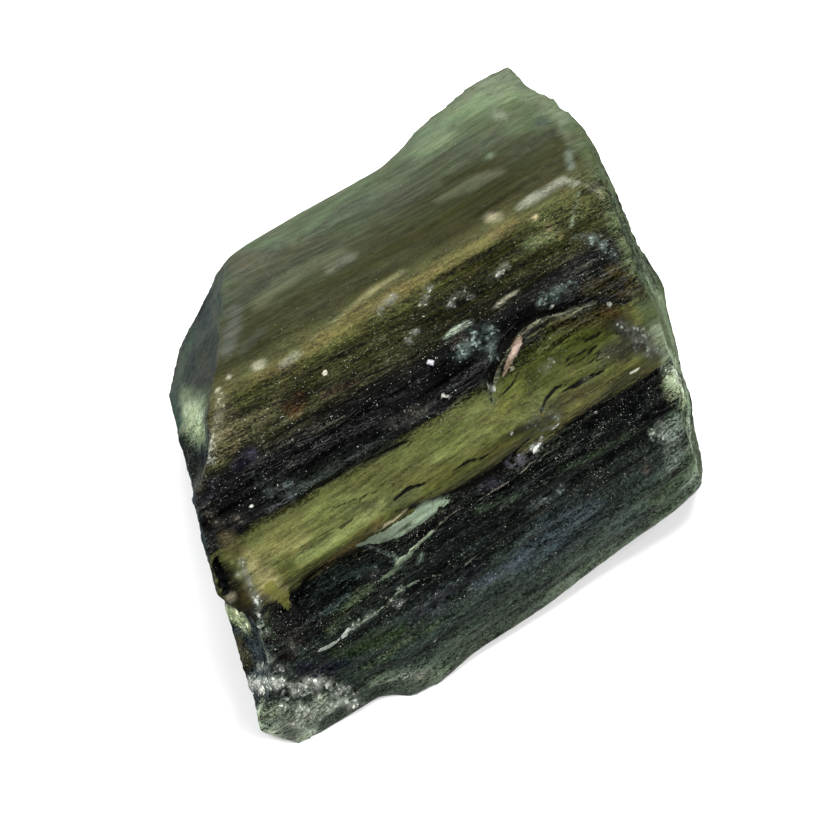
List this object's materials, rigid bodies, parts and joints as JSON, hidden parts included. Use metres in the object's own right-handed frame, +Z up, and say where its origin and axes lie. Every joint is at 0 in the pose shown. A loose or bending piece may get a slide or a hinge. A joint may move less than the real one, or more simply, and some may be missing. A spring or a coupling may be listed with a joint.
{
  "type": "moldavite",
  "caption": "Raw moldavite: a blocky, broken piece of dark green natural glass with straight parallel ridges, a shell-shaped chip and a flat break to rest on.",
  "frame": {"origin": "under the middle of the stone's plan, on the surface it rests on", "axes": "+Z up from the flat break it rests on; the grain runs at 31 degrees from +X towards +Y"},
  "size_m": [0.0173, 0.0209, 0.0078],
  "materials": {
    "natural_glass": "dark olive-green natural glass, translucent at its thin edges, glossy on fresh chips and finely lined along its grain"
  },
  "bodies": {
    "root": {"moldavite": "natural_glass"}
  },
  "joints": []
}
